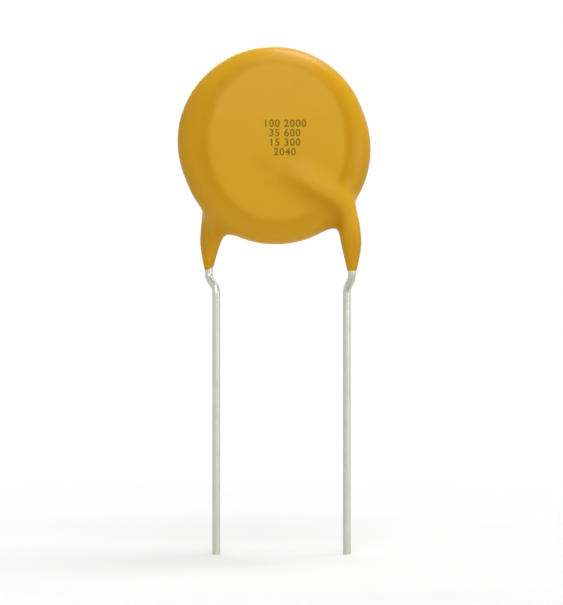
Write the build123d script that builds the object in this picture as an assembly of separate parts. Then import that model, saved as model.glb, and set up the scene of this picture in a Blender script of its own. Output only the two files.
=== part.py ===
from build123d import *

import os
from dataclasses import dataclass
from math import atan2, hypot, radians, tan

# Ceramic disc capacitor with two wire leads, in millimetres.
# The origin lies midway between the leads on the seating plane, where the leads turn straight.
# +Z runs up through the disc, +X along the row of leads, and the front face looks along -Y.
# The right lead is soldered to the front face and the left lead to the rear face.

# Leads, of tinned copper wire
wire_diameter = 0.6
lead_pitch = 10.0
lead_length = 20.0  # straight wire below the seating plane
kink_rise = 0.85  # height between the two corners of a kink
kink_radius = 0.6  # centre line radius of the two bends of a kink
front_kink_reach = 0.36  # how far the front leg stands outside its lead
rear_kink_reach = 0.6  # how far the rear leg stands outside its lead
run_slope = 31  # degrees above the horizontal of the run across an electrode
run_radius = 2.4  # centre line radius of the bend between a leg and its run
run_drop = 5.02  # corner of that bend below the centre of the disc
run_overlap = 0.2  # end of a run past the upright centre line of the disc

# Ceramic disc and its two electrodes
ceramic_diameter = 12.4
ceramic_thickness = 1.6
disc_height = 11.3  # centre of the disc above the seating plane
disc_shift = -0.58  # centre of the disc beside the middle of the leads
electrode_margin = 0.5  # bare ceramic round an electrode
electrode_thickness = 0.03

# Solder along the run of a lead
solder_film = 0.1  # solder between the wire and its electrode
solder_inset = 0.5  # bare end of the run before the solder
solder_length = 3.6
solder_width = 1.7
solder_height = 0.55
solder_slope = 40  # degrees from upright of the sides of the mound

# Epoxy coat
face_cover = 0.9  # coat over the flat faces of the ceramic disc
rim_cover = 1.08  # coat beyond the rim of the ceramic disc, where it is thinnest
rim_sag = 0.34  # what the long axis of the outline adds to that at each end
coat_lean = 22  # degrees from upright to the top left of the long axis
leg_cover = 0.42  # coat round the wire in a leg and its bend
end_cover = 0.35  # coat round and past the end of a run
tip_cover = 0.05  # coat round the wire at the tip of a leg
front_bare_wire = 0.11  # straight bare wire between the kink and the tip of the front leg
rear_bare_wire = 0.24  # straight bare wire between the kink and the tip of the rear leg
blend_radius = 0.8  # hollow blend between the disc and the ridges and legs

# Radius of the rim as a share of half the thickness of the coat
rim_round_share = 0.92
# Tapered stretch of a leg as a share of the straight leg, and how much of it the first tangent takes
leg_taper_share = 0.57
taper_tangent_share = 0.62
# Stretch of a run, as a share of it, along which the ridge holds the width of the leg before it sinks
ridge_hold_share = 0.6

wire_radius = wire_diameter / 2
leg_radius = wire_radius + leg_cover
half_ceramic = ceramic_thickness / 2
electrode_face = half_ceramic + electrode_thickness
wire_offset = electrode_face + solder_film + wire_radius
half_coat = half_ceramic + face_cover
disc_centre = Vector(disc_shift, 0, disc_height)


@dataclass(frozen=True)
class Side:
    """One face of the disc with the lead that is soldered to it."""

    name: str
    across: int  # 1 where the lead is the right one, -1 where it is the left one
    through: int  # -1 on the front face, 1 on the rear face
    kink_reach: float
    bare_wire: float

    def kink_tangent(self):
        """Length of wire between a corner of the kink and the start of its bend."""
        lean = atan2(hypot(self.kink_reach, wire_offset), kink_rise)
        return kink_radius * tan(lean / 2)

    def corner(self):
        """Corner between the leg and the run."""
        leg_x = self.across * (lead_pitch / 2 + self.kink_reach)
        return Vector(leg_x, self.through * wire_offset, disc_height - run_drop)

    def run_end(self):
        """End of the wire on its electrode."""
        corner = self.corner()
        end_x = disc_shift - self.across * run_overlap
        return Vector(end_x, corner.Y, corner.Z + abs(corner.X - end_x) * tan(radians(run_slope)))

    def leg_tip(self):
        """Point of the wire at which the coat ends."""
        corner = self.corner()
        return Vector(corner.X, corner.Y, 2 * self.kink_tangent() + kink_rise + self.bare_wire)


FRONT = Side("front", 1, -1, front_kink_reach, front_bare_wire)
REAR = Side("rear", -1, 1, rear_kink_reach, rear_bare_wire)


def lead(side):
    """Wire from its cut end up through the kink and the leg to the end of its run."""
    corner = side.corner()
    foot = Vector(side.across * lead_pitch / 2, 0, -lead_length)
    kink_low = Vector(foot.X, 0, side.kink_tangent())
    kink_high = Vector(corner.X, corner.Y, kink_low.Z + kink_rise)
    radii = (kink_radius, kink_radius, run_radius)
    path = FilletPolyline(foot, kink_low, kink_high, corner, side.run_end(), radius=radii)
    return sweep(path.location_at(0) * Circle(wire_radius), path)


def ceramic():
    """Fired disc between the electrodes."""
    return Pos(disc_centre) * Rot(90, 0, 0) * Cylinder(ceramic_diameter / 2, ceramic_thickness)


def electrode(side):
    """Fired silver layer on one face of the ceramic disc."""
    layer = Cylinder(ceramic_diameter / 2 - electrode_margin, electrode_thickness)
    middle = Vector(0, side.through * (half_ceramic + electrode_thickness / 2), 0)
    return Pos(disc_centre + middle) * Rot(90, 0, 0) * layer


def solder(side, wire):
    """Mound of solder on the electrode, drawn up both sides of the wire."""
    end = side.run_end()
    along = (side.corner() - end).normalized()
    middle = end + along * (solder_inset + solder_length / 2)
    foot = Vector(middle.X, side.through * electrode_face, middle.Z)
    base = Plane(foot, x_dir=along, z_dir=(0, side.through, 0))
    return extrude(base * SlotOverall(solder_length, solder_width), solder_height, taper=solder_slope) - wire


def turned(profile, stretch):
    """Solid of revolution round a straight stretch of wire, from a closed profile along it."""
    axis = Plane(stretch @ 0, x_dir=stretch % 0, z_dir=(0, 1, 0))
    return axis * revolve(make_face(profile), Axis.X)


def sleeve(side):
    """Coat that follows a lead: a leg with a drawn tip, the bend, and a ridge that sinks into the face."""
    path = FilletPolyline(side.leg_tip(), side.corner(), side.run_end(), radius=run_radius)
    leg, bend, run = path.edges()
    tip_radius = wire_radius + tip_cover
    taper = leg.length * leg_taper_share
    swell = Bezier((0, tip_radius), (taper * taper_tangent_share, leg_radius), (taper, leg_radius))
    shank = Polyline(swell @ 1, (leg.length, leg_radius), (leg.length, 0), (0, 0), swell @ 0)
    end_radius = wire_radius + end_cover
    reach = run.length + end_cover
    crest = Bezier((0, leg_radius), (run.length * ridge_hold_share, leg_radius), (reach, end_radius), (reach, 0))
    root = Polyline(crest @ 1, (0, 0), crest @ 0)
    elbow = sweep(bend.location_at(0) * Circle(leg_radius), bend)
    return turned([swell, shank], leg) + elbow + turned([crest, root], run)


def button():
    """Coat over the disc: a slightly long slab with a rounded rim."""
    half_width = ceramic_diameter / 2 + rim_cover
    outline = Plane.XZ * Rot(0, 0, 90 + coat_lean) * SlotCenterToCenter(2 * rim_sag, 2 * half_width)
    slab = Pos(disc_centre) * extrude(outline, half_coat, both=True)
    rims = [slab.faces().sort_by(Axis.Y)[end].edges() for end in (0, -1)]
    return fillet(rims, half_coat * rim_round_share)


def coat(inside):
    """Dipped coat: the button with both sleeves, their seams blended, over everything inside it."""
    body = button()
    for side in (FRONT, REAR):
        tube = sleeve(side)
        joined = body + tube
        body = fillet(new_edges(body, tube, combined=joined), blend_radius)
    return body - inside


nodes = {"ceramic_disc": ceramic()}
for side in (FRONT, REAR):
    wire = lead(side)
    nodes[f"{side.name}_lead"] = wire
    nodes[f"{side.name}_electrode"] = electrode(side)
    nodes[f"{side.name}_solder"] = solder(side, wire)
nodes["epoxy_coat"] = coat(list(nodes.values()))

os.makedirs("parts", exist_ok=True)
for name, piece in nodes.items():
    export_step(piece, f"parts/{name}.step")
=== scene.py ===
"""Ceramic disc capacitor: dipped epoxy coat, tinned leads, value print and a white studio, in metres."""

import logging
from collections.abc import Callable
from dataclasses import dataclass, field
from enum import Enum
from math import cos, pi, radians, sin, tan
from typing import ClassVar

import bpy
import numpy as np
from mathutils import Matrix, Vector


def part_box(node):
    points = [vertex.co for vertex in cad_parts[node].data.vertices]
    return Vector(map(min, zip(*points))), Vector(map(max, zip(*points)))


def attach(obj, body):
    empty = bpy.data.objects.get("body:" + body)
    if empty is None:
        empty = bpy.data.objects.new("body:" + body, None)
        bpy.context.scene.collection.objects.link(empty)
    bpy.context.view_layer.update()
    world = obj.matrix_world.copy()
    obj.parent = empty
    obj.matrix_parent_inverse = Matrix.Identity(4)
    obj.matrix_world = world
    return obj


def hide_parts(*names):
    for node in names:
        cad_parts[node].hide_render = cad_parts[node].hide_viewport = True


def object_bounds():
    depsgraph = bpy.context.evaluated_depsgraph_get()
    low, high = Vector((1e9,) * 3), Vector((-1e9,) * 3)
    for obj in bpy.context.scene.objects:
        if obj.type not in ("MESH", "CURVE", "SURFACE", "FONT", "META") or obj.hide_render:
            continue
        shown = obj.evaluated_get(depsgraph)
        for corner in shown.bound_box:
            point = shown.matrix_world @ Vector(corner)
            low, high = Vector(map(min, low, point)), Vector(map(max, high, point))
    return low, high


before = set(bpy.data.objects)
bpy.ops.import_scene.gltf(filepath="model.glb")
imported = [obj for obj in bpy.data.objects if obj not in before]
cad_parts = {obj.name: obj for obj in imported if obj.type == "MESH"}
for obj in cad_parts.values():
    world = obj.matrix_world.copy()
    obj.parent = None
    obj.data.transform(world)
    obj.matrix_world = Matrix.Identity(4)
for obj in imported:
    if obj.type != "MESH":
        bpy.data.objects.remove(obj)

CAD_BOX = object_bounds()
BODY = "root"
MM = 0.001
IMAGE_HEIGHT = 605

# Colour sockets of a mix node, by number because its sockets share their names
MIX_START = 6
MIX_END = 7
MIX_RESULT = 2

log = logging.getLogger("disc_capacitor")

Colour = tuple[float, float, float]

WHITE: Colour = (1.0, 1.0, 1.0)
BLACK: Colour = (0.0, 0.0, 0.0)


class Side(Enum):
    """Faces of the disc, each with the signs of its lead along X and of its face along Y."""

    FRONT = (1, -1)
    REAR = (-1, 1)

    @property
    def across(self) -> int:
        """1 where the lead is the right one, -1 where it is the left one."""
        return self.value[0]

    @property
    def through(self) -> int:
        """-1 on the front face, 1 on the rear face."""
        return self.value[1]


class SurfaceGrain:
    """Shader node group that gives a surface slow shifts of tone and a fine height."""

    NAME = "surface_grain"
    DETAIL = 3.0
    MIDDLE = 0.5

    @classmethod
    def group(cls) -> bpy.types.NodeTree:
        """Build the group once and hand it out after that.

        Returns:
            The node group with inputs Stretch, Scale, Depth and outputs Tone, Height.
        """
        if cls.NAME in bpy.data.node_groups:
            return bpy.data.node_groups[cls.NAME]
        tree = bpy.data.node_groups.new(cls.NAME, "ShaderNodeTree")
        tree.interface.new_socket("Stretch", in_out="INPUT", socket_type="NodeSocketVector")
        for name in ("Scale", "Depth"):
            tree.interface.new_socket(name, in_out="INPUT", socket_type="NodeSocketFloat")
        for name in ("Tone", "Height"):
            tree.interface.new_socket(name, in_out="OUTPUT", socket_type="NodeSocketFloat")
        nodes, links = tree.nodes, tree.links
        inputs = nodes.new("NodeGroupInput")
        outputs = nodes.new("NodeGroupOutput")
        place = nodes.new("ShaderNodeTexCoord")
        stretch = nodes.new("ShaderNodeVectorMath")
        stretch.operation = "MULTIPLY"
        noise = nodes.new("ShaderNodeTexNoise")
        noise.inputs["Detail"].default_value = cls.DETAIL
        centred = nodes.new("ShaderNodeMath")
        centred.operation = "SUBTRACT"
        centred.inputs[1].default_value = cls.MIDDLE
        tone = nodes.new("ShaderNodeMath")
        tone.operation = "MULTIPLY_ADD"
        tone.inputs[2].default_value = 1.0
        links.new(place.outputs["Object"], stretch.inputs[0])
        links.new(inputs.outputs["Stretch"], stretch.inputs[1])
        links.new(stretch.outputs["Vector"], noise.inputs["Vector"])
        links.new(inputs.outputs["Scale"], noise.inputs["Scale"])
        links.new(noise.outputs["Fac"], centred.inputs[0])
        links.new(centred.outputs["Value"], tone.inputs[0])
        links.new(inputs.outputs["Depth"], tone.inputs[1])
        links.new(tone.outputs["Value"], outputs.inputs["Tone"])
        links.new(noise.outputs["Fac"], outputs.inputs["Height"])
        return tree


@dataclass(frozen=True)
class Finish:
    """One procedural finish: a colour and gloss, with a grain that varies tone and height."""

    name: str
    colour: Colour
    roughness: float
    metallic: float = 0.0
    gloss: float = 0.5
    tone_depth: float = 0.1
    grain_size: float = 1.0 * MM
    stretch: tuple[float, float, float] = (1.0, 1.0, 1.0)
    bump_height: float = 0.004 * MM

    def material(self) -> bpy.types.Material:
        """Build the material.

        Returns:
            A Principled material whose colour and normal follow the grain group.
        """
        material = bpy.data.materials.new(self.name)
        material.use_nodes = True
        nodes, links = material.node_tree.nodes, material.node_tree.links
        shader = nodes["Principled BSDF"]
        shader.inputs["Roughness"].default_value = self.roughness
        shader.inputs["Metallic"].default_value = self.metallic
        shader.inputs["Specular IOR Level"].default_value = self.gloss
        grain = nodes.new("ShaderNodeGroup")
        grain.node_tree = SurfaceGrain.group()
        grain.inputs["Stretch"].default_value = self.stretch
        grain.inputs["Scale"].default_value = 1 / self.grain_size
        grain.inputs["Depth"].default_value = self.tone_depth
        tint = nodes.new("ShaderNodeMix")
        tint.data_type = "RGBA"
        tint.blend_type = "MULTIPLY"
        tint.inputs["Factor"].default_value = 1.0
        self.colour_in(material.node_tree, tint.inputs[MIX_START])
        bump = nodes.new("ShaderNodeBump")
        bump.inputs["Distance"].default_value = self.bump_height
        links.new(grain.outputs["Tone"], tint.inputs[MIX_END])
        links.new(tint.outputs[MIX_RESULT], shader.inputs["Base Color"])
        links.new(grain.outputs["Height"], bump.inputs["Height"])
        links.new(bump.outputs["Normal"], shader.inputs["Normal"])
        return material

    def colour_in(self, tree: bpy.types.NodeTree, socket: bpy.types.NodeSocket) -> None:
        """Give the socket the colour that the grain then varies."""
        socket.default_value = (*self.colour, 1.0)


@dataclass(frozen=True, kw_only=True)
class DippedFinish(Finish):
    """Finish of a dipped coat, with a painted shade colour where its mesh marks shade: round the flats,
    below each ridge and on the legs.
    """

    # Mesh attribute that carries the painted shade: a darker coat colour where shade falls
    PAINTED_SHADE: ClassVar[str] = "painted_shade"
    painted_shade_colour: Colour

    def colour_in(self, tree: bpy.types.NodeTree, socket: bpy.types.NodeSocket) -> None:
        """Give the socket the coat's colour, turning to the painted shade colour.

        Args:
            tree: Node tree of the material.
            socket: Colour socket to feed.
        """
        painted_shade = tree.nodes.new("ShaderNodeAttribute")
        painted_shade.attribute_name = self.PAINTED_SHADE
        colour = tree.nodes.new("ShaderNodeMix")
        colour.data_type = "RGBA"
        colour.inputs[MIX_START].default_value = (*self.colour, 1.0)
        colour.inputs[MIX_END].default_value = (*self.painted_shade_colour, 1.0)
        tree.links.new(painted_shade.outputs["Fac"], colour.inputs["Factor"])
        tree.links.new(colour.outputs[MIX_RESULT], socket)


# The second colour of the epoxy is painted shade, laid on where the coat's mesh marks it
EPOXY = DippedFinish("ochre_epoxy", (0.595, 0.32, 0.011), 0.30, gloss=0.15, tone_depth=0.06,
                     grain_size=2.5 * MM, painted_shade_colour=(0.51, 0.247, 0.0))
TIN = Finish("bright_tin", (0.52, 0.53, 0.455), 0.36, metallic=1.0, stretch=(1.0, 1.0, 0.12),
             grain_size=0.25 * MM, tone_depth=0.25)
CERAMIC = Finish("fired_ceramic", (0.45, 0.36, 0.26), 0.8, grain_size=0.3 * MM)
SILVER = Finish("fired_silver", (0.78, 0.77, 0.74), 0.5, metallic=1.0, grain_size=0.2 * MM)
SOLDER = Finish("bright_solder", (0.6, 0.6, 0.6), 0.3, metallic=1.0, grain_size=0.5 * MM)
INK = Finish("olive_ink", (0.2, 0.131, 0.002), 0.45, gloss=0.15, tone_depth=0.3, grain_size=0.2 * MM)


def link_mesh(name: str, points: np.ndarray, faces: np.ndarray) -> bpy.types.Object:
    """Make a smooth mesh object in the scene.

    Args:
        name: Name of the object.
        points: Vertices, one per row, in metres.
        faces: Indices of the corners, one face per row.

    Returns:
        The new object.
    """
    mesh = bpy.data.meshes.new(name)
    mesh.from_pydata(points.tolist(), [], faces.tolist())
    mesh.polygons.foreach_set("use_smooth", [True] * len(mesh.polygons))
    made = bpy.data.objects.new(name, mesh)
    bpy.context.scene.collection.objects.link(made)
    return made


@dataclass
class Skin:
    """Quad mesh of the surface on which a distance field is zero."""

    CELL_CORNERS: ClassVar[int] = 8
    distance: Callable[[np.ndarray], np.ndarray]
    low: Vector
    high: Vector
    step: float
    margin_steps: int = 2
    probe_parts: int = 20
    rounds: int = 12
    least_steepness: float = 0.25

    def net(self) -> tuple[np.ndarray, np.ndarray]:
        """Find the cells that the surface crosses and join their middles.

        Returns:
            The middles of the cells, and the quads between them.
        """
        margin = self.margin_steps * self.step
        spans = zip(self.low, self.high)
        axes = [np.arange(low - margin, high + margin + self.step, self.step) for low, high in spans]
        grid = np.stack(np.meshgrid(*axes, indexing="ij"), axis=-1)
        inside = self.distance(grid) < 0
        count = sum(
            inside[i:i - 1 or None, j:j - 1 or None, k:k - 1 or None].astype(int)
            for i in (0, 1) for j in (0, 1) for k in (0, 1)
        )
        crossed = (count > 0) & (count < self.CELL_CORNERS)
        number = np.full(crossed.shape, -1)
        number[crossed] = np.arange(crossed.sum())
        middles = grid[:-1, :-1, :-1][crossed] + self.step / 2
        quads = [self.quads_along(axis, inside, number) for axis in range(3)]
        return middles, np.concatenate(quads)

    @staticmethod
    def quads_along(axis: int, inside: np.ndarray, number: np.ndarray) -> np.ndarray:
        """Find the quads round the grid edges that run along one axis.

        Args:
            axis: 0, 1 or 2.
            inside: True at the grid points inside the surface.
            number: Number of the vertex in each crossed cell.

        Returns:
            Vertex numbers, four per quad, turned so that normals point outwards.
        """
        turned = np.moveaxis(inside, axis, 0)
        cells = np.moveaxis(number, axis, 0)
        starts, ends = turned[:-1, 1:-1, 1:-1], turned[1:, 1:-1, 1:-1]
        around = [cells[:, :-1, :-1], cells[:, 1:, :-1], cells[:, 1:, 1:], cells[:, :-1, 1:]]
        order = around if axis != 1 else around[::-1]
        leaving = np.stack([cell[starts & ~ends] for cell in order], axis=1)
        entering = np.stack([cell[~starts & ends] for cell in order[::-1]], axis=1)
        return np.concatenate([leaving, entering])

    def slope(self, points: np.ndarray) -> np.ndarray:
        """Find the gradient of the field by central differences.

        Args:
            points: Points to look at.

        Returns:
            One gradient per point.
        """
        reach = self.step / self.probe_parts
        shifts = np.eye(3) * reach
        parts = [self.distance(points + shift) - self.distance(points - shift) for shift in shifts]
        return np.stack(parts, axis=-1) / (2 * reach)

    def settle(self, points: np.ndarray, quads: np.ndarray) -> np.ndarray:
        """Even out the net and draw it onto the surface.

        Args:
            points: Middles of the crossed cells.
            quads: Quads between them.

        Returns:
            Points on the surface.
        """
        pairs = np.concatenate([quads[:, [i, (i + 1) % 4]] for i in range(4)])
        pairs = np.concatenate([pairs, pairs[:, ::-1]])
        share = np.bincount(pairs[:, 0], minlength=len(points))[:, None]
        for _ in range(self.rounds):
            total = np.zeros_like(points)
            np.add.at(total, pairs[:, 0], points[pairs[:, 1]])
            points = total / share
            slope = self.slope(points)
            steepness = np.maximum((slope**2).sum(-1, keepdims=True), self.least_steepness)
            points = points - self.distance(points)[:, None] * slope / steepness
        return points

    def mesh(self, name: str) -> bpy.types.Object:
        """Make the mesh object of the surface, under the name."""
        middles, quads = self.net()
        return link_mesh(name, self.settle(middles, quads), quads)


@dataclass(frozen=True)
class Leg:
    """One coated leg: where its wire stands, its radius, where its coat ends and how that end slants."""

    side: Side
    x: float
    radius: float
    tip: float
    slant: float = 0.0


@dataclass(frozen=True)
class Wave:
    """One shallow wave of a dipped surface: how fast it turns along X, Y and Z, and its phase."""

    turns: tuple[float, float, float]
    phase: float = 0.0


def soft_min(a: np.ndarray, b: np.ndarray, reach: np.ndarray | float) -> np.ndarray:
    """Smaller of two distances, with the seam filled by a hollow blend.

    Args:
        a: First distances.
        b: Second distances.
        reach: Difference of distance at which the blend starts.

    Returns:
        Blended distances.
    """
    near = np.maximum(reach - np.abs(a - b), 0) / reach
    return np.minimum(a, b) - near**2 * reach / 4


def mix(start: np.ndarray | float, end: np.ndarray | float, share: np.ndarray) -> np.ndarray:
    """Value that lies a share of the way from the start to the end."""
    return start + (end - start) * share


def ease(share: np.ndarray) -> np.ndarray:
    """Share held between 0 and 1, with a gentle start and end."""
    held = np.clip(share, 0, 1)
    return held * held * (3 - 2 * held)


def ease_out(share: np.ndarray, power: float = 1.5) -> np.ndarray:
    """Share held between 0 and 1, with a gentle end."""
    return 1 - (1 - np.clip(share, 0, 1)) ** power


@dataclass
class EpoxyCoat:
    """Dipped coat: a button over the disc, with a ridge over each wire and a leg down each lead."""

    # Button over the disc
    half_thickness: float = 1.70 * MM
    half_width: float = 7.275 * MM
    sag: float = 0.34 * MM
    lean: float = radians(22)
    crown: float = 0.30 * MM
    rim_height: float = 1.39 * MM
    side_rim: float = 2.05 * MM
    end_rim: float = 1.64 * MM
    rim_shift: float = 0.36 * MM
    rim_shift_turn: float = radians(45)
    rim_power: float = 1.6
    cheek: float = 0.048 * MM
    cheek_turn: float = radians(29)
    cheek_spread: float = radians(17)

    # Leg down each lead
    wire_radius: float = 0.30 * MM
    front_leg_radius: float = 0.74 * MM
    rear_leg_radius: float = 0.68 * MM
    leg_inset: float = 0.03 * MM
    neck_radius: float = 0.54 * MM
    tip_radius: float = 0.33 * MM
    taper: float = 2.2 * MM
    rear_tip_rise: float = 0.2 * MM
    rear_tip_slant: float = 0.5

    # Ridge over each wire's run
    run_drop: float = 5.02 * MM
    run_slope: float = radians(31)
    run_radius: float = 2.4 * MM
    run_overlap: float = 0.2 * MM
    ridge_radius: float = 0.40 * MM
    ridge_end_radius: float = 0.35 * MM
    ridge_rise: float = -0.08 * MM
    ridge_lift: float = 0.22 * MM
    ridge_start: float = 1.3 * MM
    ridge_hold_share: float = 0.25
    ridge_fade_share: float = 0.6

    # Blends between them
    inner_blend: float = 2.05 * MM
    outer_blend: float = 1.0 * MM
    lower_blend: float = 1.35 * MM
    upper_blend: float = 1.35 * MM
    top_blend: float = 0.1 * MM
    tip_blend: float = 0.12 * MM
    blend_turn: float = 0.8 * MM

    # Flats and the painted shade round them, below each ridge and on the legs
    flat_right: float = 0.27 * MM
    flat_up: float = 0.22 * MM
    flat_width: float = 5.21 * MM
    flat_height: float = 5.98 * MM
    shade_edge_share: float = 0.11
    shade_fade_share: float = 0.25
    rim_shade_share: float = 0.4
    end_shade_share: float = 0.68
    leg_shade_share: float = 0.7
    seam_lead_share: float = 0.75
    web_share: float = 1.8

    # Waves of the surface and the mesh
    wave_depth: float = 0.02 * MM
    wave_length: float = 6.0 * MM
    waves: tuple[Wave, ...] = (Wave((1.0, 0.0, 0.4)), Wave((-0.5, 0.0, 0.7), 1.3), Wave((0.0, 1.1, 0.9)))
    step: float = 0.11 * MM

    # Made or taken from the frame
    piece: bpy.types.Object | None = None
    centre: Vector = field(init=False)
    half_depth: float = field(init=False)
    wire_offset: float = field(init=False)
    legs: tuple[Leg, Leg] = field(init=False)

    def __post_init__(self) -> None:
        """Take the places of the disc and the leads from the frame."""
        low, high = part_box("ceramic_disc")
        self.centre = (low + high) / 2
        front_low, front_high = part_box("front_lead")
        rear_low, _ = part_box("rear_lead")
        coat_low, coat_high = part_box("epoxy_coat")
        self.half_depth = min(-coat_low.y, coat_high.y)
        self.wire_offset = -front_low.y - self.wire_radius
        front_x, rear_x = front_high.x - self.wire_radius, rear_low.x + self.wire_radius
        rear_tip = coat_low.z + self.rear_tip_rise
        self.legs = (
            Leg(Side.FRONT, front_x, self.front_leg_radius, coat_low.z),
            Leg(Side.REAR, rear_x, self.rear_leg_radius, rear_tip, self.rear_tip_slant),
        )

    def button(self, points: np.ndarray) -> np.ndarray:
        """Find the distance to the coat over the disc: a longish slab with crowned faces and a round rim.

        The rim is no higher than the half thickness less the crown, so its middle has no crease.

        Args:
            points: Points in the frame.

        Returns:
            The distances, negative inside.
        """
        x, y, z = np.moveaxis(points - np.array(self.centre), -1, 0)
        along = z * cos(self.lean) - x * sin(self.lean)
        aside = z * sin(self.lean) + x * cos(self.lean)
        beyond = along - np.clip(along, -self.sag, self.sag)
        turn = np.arctan2(z, x)
        off_cheek = (turn - self.cheek_turn) / self.cheek_spread
        half_width = self.half_width + self.cheek * np.exp(-off_cheek**2)
        rim_width = mix(self.side_rim, self.end_rim, np.sin(turn) ** 2)
        rim_width -= self.rim_shift * np.cos(turn - self.rim_shift_turn)
        rim = (np.hypot(aside, beyond) - half_width) / rim_width + 1
        fall = self.crown * (x**2 + z**2) / self.half_width**2
        face = (np.abs(y) + fall - self.half_thickness) / self.rim_height + 1
        corner = np.sqrt(np.maximum(rim, 0) ** self.rim_power + np.maximum(face, 0) ** 2)
        return (corner + np.minimum(np.maximum(rim, face), 0) - 1) * self.rim_height

    def sleeve(self, points: np.ndarray, leg: Leg) -> tuple[np.ndarray, np.ndarray, np.ndarray]:
        """Find the distance to the coat that follows one lead up its leg, round the bend and along its run.

        Args:
            points: Points in the frame.
            leg: The leg.

        Returns:
            The distances, the reach of the blend with the button, and how far the points lie outside
            the leg or above the run.
        """
        x, y, z = np.moveaxis(points, -1, 0)
        out, level = leg.side.across * (x - leg.x), leg.side.through * y
        turn = pi / 2 - self.run_slope
        corner = self.centre.z - self.run_drop
        tangent = self.run_radius * tan(turn / 2)
        bend_low = corner - tangent
        angle = np.clip(np.arctan2(z - bend_low, out + self.run_radius), 0, turn)
        bend_aside = np.hypot(out + self.run_radius, z - bend_low) - self.run_radius
        run_out = out + tangent * cos(self.run_slope)
        run_up = z - corner - tangent * sin(self.run_slope)
        ahead = run_up * sin(self.run_slope) - run_out * cos(self.run_slope)
        run_aside = run_up * cos(self.run_slope) + run_out * sin(self.run_slope)
        length = (abs(leg.x - self.centre.x) + self.run_overlap) / cos(self.run_slope) - tangent
        round_bend = ease(angle / turn)
        aside = np.where(angle >= turn, run_aside, np.where(angle <= 0, out, bend_aside))
        aside = aside - self.ridge_lift * round_bend
        past = np.where(angle >= turn, np.maximum(ahead - length, 0), 0)
        swell = mix(self.tip_radius, leg.radius, ease_out((z - leg.tip) / self.taper))
        above_taper = (z - leg.tip - self.taper) / (corner - leg.tip - self.taper)
        neck = mix(swell, self.neck_radius, ease(above_taper))
        spread = ease(np.where(angle >= turn, ahead, 0) / self.ridge_start)
        fade = np.clip((ahead / length - self.ridge_hold_share) / self.ridge_fade_share, 0, 1) ** 2
        ridge = mix(self.ridge_radius, self.ridge_end_radius, fade)
        radius = mix(neck, ridge, spread)
        top = self.half_thickness + self.ridge_rise - (self.ridge_rise + self.lower_blend) * fade
        depth = mix(self.wire_offset - self.leg_inset, top - ridge, spread)
        gap = np.maximum(np.sqrt(aside**2 + past**2 + (level - depth) ** 2) - radius, -level)
        below = leg.tip - leg.slant * out - z
        inner = mix(self.inner_blend, self.lower_blend, round_bend)
        outer = mix(self.outer_blend, self.upper_blend, round_bend)
        reach = mix(inner, outer, ease(aside / self.blend_turn / 2 + 0.5))
        return -soft_min(-gap, -below, self.tip_blend), reach, aside

    def ripple(self, points: np.ndarray) -> np.ndarray:
        """Find how far the waves of the dipped surface draw it inwards.

        Args:
            points: Points in the frame.

        Returns:
            Depths from 0 to the full depth of the waves.
        """
        turned = points * (2 * pi / self.wave_length)
        height = sum(np.sin(turned @ np.array(wave.turns) + wave.phase) for wave in self.waves)
        return self.wave_depth * (height / len(self.waves) + 1) / 2

    def distance(self, points: np.ndarray) -> np.ndarray:
        """Find the distance to the whole coat.

        Args:
            points: Points in the frame.

        Returns:
            The distances, negative inside.
        """
        body = self.button(points)
        for leg in self.legs:
            sleeve, reach, _ = self.sleeve(points, leg)
            body = soft_min(body, sleeve, reach)
        beyond = np.abs(points[..., 1]) - self.half_depth
        return -soft_min(-body, -beyond, self.top_blend) + self.ripple(points)

    def painted_shade_mask(self, points: np.ndarray) -> np.ndarray:
        """Find the share of painted shade, which is most at the edge of the flats and below each ridge.

        Args:
            points: Points on the coat.

        Returns:
            Shares from 0, with no painted shade, to 1.
        """
        # Painted shade: a darker ring round each flat, weaker at its ends and over the rim, darker hollows
        # below each ridge and darker legs
        x, _, z = np.moveaxis(points - np.array(self.centre), -1, 0)
        share = np.hypot((x - self.flat_right) / self.flat_width, (z - self.flat_up) / self.flat_height)
        shade_strength = mix(1, self.rim_shade_share, ease((share - 1) / self.shade_fade_share))
        shade_strength *= mix(1, self.end_shade_share, np.sin(np.arctan2(z, x)) ** 2)
        painted_shade = ease((share - 1) / self.shade_edge_share + 0.5) * shade_strength
        button = self.button(points)
        for leg in self.legs:
            sleeve, reach, aside = self.sleeve(points, leg)
            own = self.leg_shade_share * ease((-self.run_drop - z) / self.run_radius)
            web = 1 - np.abs(button - sleeve) / (self.web_share * reach)
            hollow = ease(web) * ease(-aside / self.blend_turn)
            on_leg = ease((button - sleeve) / reach + self.seam_lead_share)
            painted_shade = np.maximum(mix(painted_shade, own, on_leg), hollow)
        return painted_shade

    def build(self) -> None:
        """Make the coat's mesh in place of its solid, and mark the painted shade on it."""
        low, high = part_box("epoxy_coat")
        self.piece = Skin(self.distance, low, high, self.step).mesh("dipped_coat")
        points = np.array([vertex.co for vertex in self.piece.data.vertices])
        # The painted shade share goes on the mesh as a point attribute
        painted_shade = self.piece.data.attributes.new(DippedFinish.PAINTED_SHADE, "FLOAT", "POINT")
        painted_shade.data.foreach_set("value", self.painted_shade_mask(points))
        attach(self.piece, BODY)
        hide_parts("epoxy_coat")

    def dress(self) -> None:
        """Give the coat its epoxy."""
        self.piece.data.materials.append(EPOXY.material())


@dataclass
class CarriedNodes:
    """Nodes of the frame that keep their own shape and take a finish."""

    finish: Finish
    names: tuple[str, ...]

    def dress(self) -> None:
        """Give each node the finish."""
        material = self.finish.material()
        for name in self.names:
            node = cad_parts[name]
            node.data.materials.clear()
            node.data.materials.append(material)


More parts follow.
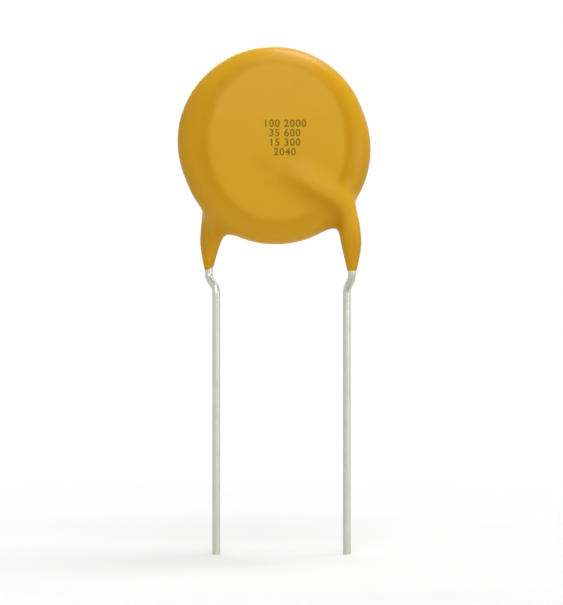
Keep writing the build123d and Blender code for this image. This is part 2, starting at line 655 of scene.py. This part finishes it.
@dataclass
class ValuePrint:
    """Lines of plain numbers printed on the front of the coat."""

    coat: EpoxyCoat
    lines: tuple[str, ...] = ("100 2000", "35 600", "15 300", "2040")
    line_height: float = 0.72 * MM
    digit_size: float = 0.78 * MM
    digit_weight: float = 0.014 * MM
    digit_spacing: float = 1.12
    middle: float = 0.25 * MM
    top: float = 12.62 * MM
    sunk: float = 0.05 * MM
    proud: float = 0.006 * MM
    lay_rounds: int = 6
    piece: bpy.types.Object | None = None

    def build(self) -> None:
        """Set the numbers as thin raised ink on the flat of the coat."""
        curve = bpy.data.curves.new("value_print", "FONT")
        curve.body = "\n".join(self.lines)
        curve.size = self.digit_size
        curve.space_line = self.line_height / self.digit_size
        curve.align_x = "CENTER"
        curve.space_character = self.digit_spacing
        curve.offset = self.digit_weight
        curve.extrude = (self.sunk + self.proud) / 2
        text = bpy.data.objects.new("value_print_text", curve)
        bpy.context.scene.collection.objects.link(text)
        bpy.context.view_layer.update()
        mesh = bpy.data.meshes.new_from_object(text.evaluated_get(bpy.context.evaluated_depsgraph_get()))
        bpy.data.objects.remove(text)
        mesh.transform(Matrix.Translation((self.middle, 0, self.top)) @ Matrix.Rotation(pi / 2, 4, "X"))
        self.lay_on_face(mesh)
        self.piece = bpy.data.objects.new("value_print", mesh)
        bpy.context.scene.collection.objects.link(self.piece)
        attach(self.piece, BODY)

    def lay_on_face(self, mesh: bpy.types.Mesh) -> None:
        """Move the two layers of the upright numbers to just outside and just inside the coat's front face.

        Args:
            mesh: The numbers, halfway through the part.
        """
        points = np.array([vertex.co for vertex in mesh.vertices])
        layer = np.where(points[:, 1] < 0, -self.proud, self.sunk)
        points[:, 1] = -self.coat.half_thickness
        for _ in range(self.lay_rounds):
            points[:, 1] += self.coat.distance(points)
        points[:, 1] += layer
        mesh.vertices.foreach_set("co", points.ravel())

    def dress(self) -> None:
        """Give the numbers their ink."""
        self.piece.data.materials.clear()
        self.piece.data.materials.append(INK.material())


@dataclass(frozen=True)
class Softbox:
    """Square area lamp that points at the part."""

    name: str
    place: tuple[float, float, float]
    size: float
    radiance: float

    def hang(self, target: Vector) -> None:
        """Place the lamp and turn it to the target.

        Args:
            target: Point that the lamp faces.
        """
        lamp = bpy.data.lights.new(self.name, "AREA")
        lamp.size = self.size
        lamp.energy = self.radiance * pi * self.size**2
        hung = bpy.data.objects.new(self.name, lamp)
        bpy.context.scene.collection.objects.link(hung)
        hung.location = self.place
        hung.rotation_euler = (target - Vector(self.place)).to_track_quat("-Z", "Y").to_euler()
        hung.visible_camera = False


@dataclass
class Studio:
    """White floor, backdrop and surroundings, soft lamps and the camera."""

    lead_pitch: float = 10 * MM
    lead_pitch_pixels: float = 130.6
    lens: float = 150.0
    sensor: float = 36.0
    aim_pixel_row: float = 293.0
    floor_reach: float = 3.0
    floor_colour: Colour = (0.67, 0.67, 0.67)
    floor_glow: float = 0.0
    backdrop_glow: float = 1.0
    shadow_reach: float = 30 * MM
    white_reach: float = 90 * MM
    backdrop_place: float = 0.45
    backdrop_reach: float = 1.2
    world_light: float = 0.32
    seen_light: float = 1.0
    target_rise: float = 10 * MM
    lamps: tuple[Softbox, ...] = (
        Softbox("front_softbox", (0.0, -0.42, 0.17), 0.22, 2.5),
        Softbox("top_softbox", (0.11, 0.05, 0.42), 0.22, 8.5),
        Softbox("key_softbox", (0.05, -0.28, 0.44), 0.30, 4.0),
        Softbox("side_softbox", (0.40, -0.23, 0.0), 0.20, 2.8),
        Softbox("rear_softbox", (-0.12, 0.38, 0.22), 0.25, 4.5),
    )

    @staticmethod
    def seen(tree: bpy.types.NodeTree) -> bpy.types.NodeSocket:
        """Tell the rays that show the white surroundings from the rays that light the part.

        Args:
            tree: Node tree to add to.

        Returns:
            The socket that is 1 for camera, glossy and transmission rays.
        """
        path = tree.nodes.new("ShaderNodeLightPath")
        any_ray = path.outputs["Is Camera Ray"]
        for kind in ("Is Glossy Ray", "Is Transmission Ray"):
            either = tree.nodes.new("ShaderNodeMath")
            either.operation = "MAXIMUM"
            tree.links.new(any_ray, either.inputs[0])
            tree.links.new(path.outputs[kind], either.inputs[1])
            any_ray = either.outputs["Value"]
        return any_ray

    def white(self, name: str, near_glow: float, colour: Colour) -> bpy.types.Material:
        """Build a pale matt material that keeps the part's shadow and turns to even white farther off.

        Args:
            name: Name of the material.
            near_glow: Share of even white next to the part.
            colour: Diffuse colour.

        Returns:
            The material.
        """
        material = bpy.data.materials.new(name)
        material.use_nodes = True
        tree = material.node_tree
        shader = tree.nodes["Principled BSDF"]
        shader.inputs["Roughness"].default_value = 1.0
        shader.inputs["Specular IOR Level"].default_value = 0.0
        shader.inputs["Emission Color"].default_value = (*WHITE, 1.0)
        place = tree.nodes.new("ShaderNodeTexCoord")
        away = tree.nodes.new("ShaderNodeVectorMath")
        away.operation = "LENGTH"
        ramp = tree.nodes.new("ShaderNodeMapRange")
        ramp.inputs["From Min"].default_value = self.shadow_reach
        ramp.inputs["From Max"].default_value = self.white_reach
        ramp.inputs["To Min"].default_value = near_glow
        ramp.inputs["To Max"].default_value = 1.0
        glow = tree.nodes.new("ShaderNodeMath")
        glow.operation = "MULTIPLY"
        matt = tree.nodes.new("ShaderNodeMix")
        matt.data_type = "RGBA"
        matt.inputs[MIX_START].default_value = (*colour, 1.0)
        matt.inputs[MIX_END].default_value = (*BLACK, 1.0)
        tree.links.new(place.outputs["Object"], away.inputs[0])
        tree.links.new(away.outputs["Value"], ramp.inputs["Value"])
        tree.links.new(ramp.outputs["Result"], glow.inputs[0])
        tree.links.new(self.seen(tree), glow.inputs[1])
        tree.links.new(glow.outputs["Value"], shader.inputs["Emission Strength"])
        tree.links.new(glow.outputs["Value"], matt.inputs["Factor"])
        tree.links.new(matt.outputs[MIX_RESULT], shader.inputs["Base Color"])
        return material

    @staticmethod
    def plane(name: str, reach: float, matrix: Matrix, material: bpy.types.Material) -> None:
        """Add a square stage plane.

        Args:
            name: Name of the plane.
            reach: Half of its side.
            matrix: Its place and turn.
            material: Its material.
        """
        corners = np.array([(-1, -1, 0), (1, -1, 0), (1, 1, 0), (-1, 1, 0)]) * reach
        made = link_mesh(name, corners, np.array([(0, 1, 2, 3)]))
        made.matrix_world = matrix
        made.data.materials.append(material)

    def build(self) -> None:
        """Set up the floor, the backdrop, the world, the lamps and the camera."""
        low, high = CAD_BOX
        floor = self.white("white_floor", self.floor_glow, self.floor_colour)
        self.plane("floor", self.floor_reach, Matrix.Translation((0, 0, low.z)), floor)
        backdrop = self.white("white_backdrop", self.backdrop_glow, self.floor_colour)
        upright = Matrix.Translation((0, self.backdrop_place, 0)) @ Matrix.Rotation(pi / 2, 4, "X")
        self.plane("backdrop", self.backdrop_reach, upright, backdrop)
        world = bpy.data.worlds.new("studio")
        world.use_nodes = True
        glow = world.node_tree.nodes.new("ShaderNodeMapRange")
        glow.inputs["To Min"].default_value = self.world_light
        glow.inputs["To Max"].default_value = self.seen_light
        background = world.node_tree.nodes["Background"]
        background.inputs["Color"].default_value = (*WHITE, 1.0)
        world.node_tree.links.new(self.seen(world.node_tree), glow.inputs["Value"])
        world.node_tree.links.new(glow.outputs["Result"], background.inputs["Strength"])
        bpy.context.scene.world = world
        target = Vector((0, 0, (low.z + high.z) / 2 + self.target_rise))
        for lamp in self.lamps:
            lamp.hang(target)
        self.camera()
        bpy.context.scene.view_settings.view_transform = "Standard"

    def camera(self) -> None:
        """Set the camera level in front of the part, at the scale and place of the photograph."""
        camera = bpy.data.cameras.new("camera")
        camera.lens = self.lens
        camera.sensor_width = self.sensor
        held = bpy.data.objects.new("camera", camera)
        bpy.context.scene.collection.objects.link(held)
        scale = self.lead_pitch_pixels / self.lead_pitch
        away = IMAGE_HEIGHT / scale * self.lens / self.sensor
        held.location = (0, -away, (self.aim_pixel_row - IMAGE_HEIGHT / 2) / scale)
        held.rotation_euler = (pi / 2, 0, 0)
        bpy.context.scene.camera = held


def main() -> None:
    """Build and dress the part, then the studio round it."""
    logging.basicConfig(level=logging.INFO, format="%(name)s: %(message)s")
    coat = EpoxyCoat()
    for sub_assembly in (coat, ValuePrint(coat)):
        sub_assembly.build()
        sub_assembly.dress()
        log.info("%s: %d faces", sub_assembly.piece.name, len(sub_assembly.piece.data.polygons))
    carried = (
        CarriedNodes(TIN, ("front_lead", "rear_lead")),
        CarriedNodes(CERAMIC, ("ceramic_disc",)),
        CarriedNodes(SILVER, ("front_electrode", "rear_electrode")),
        CarriedNodes(SOLDER, ("front_solder", "rear_solder")),
    )
    for nodes in carried:
        nodes.dress()
        log.info("%s: %s", ", ".join(nodes.names), nodes.finish.name)
    Studio().build()


if __name__ == "__main__":
    main()
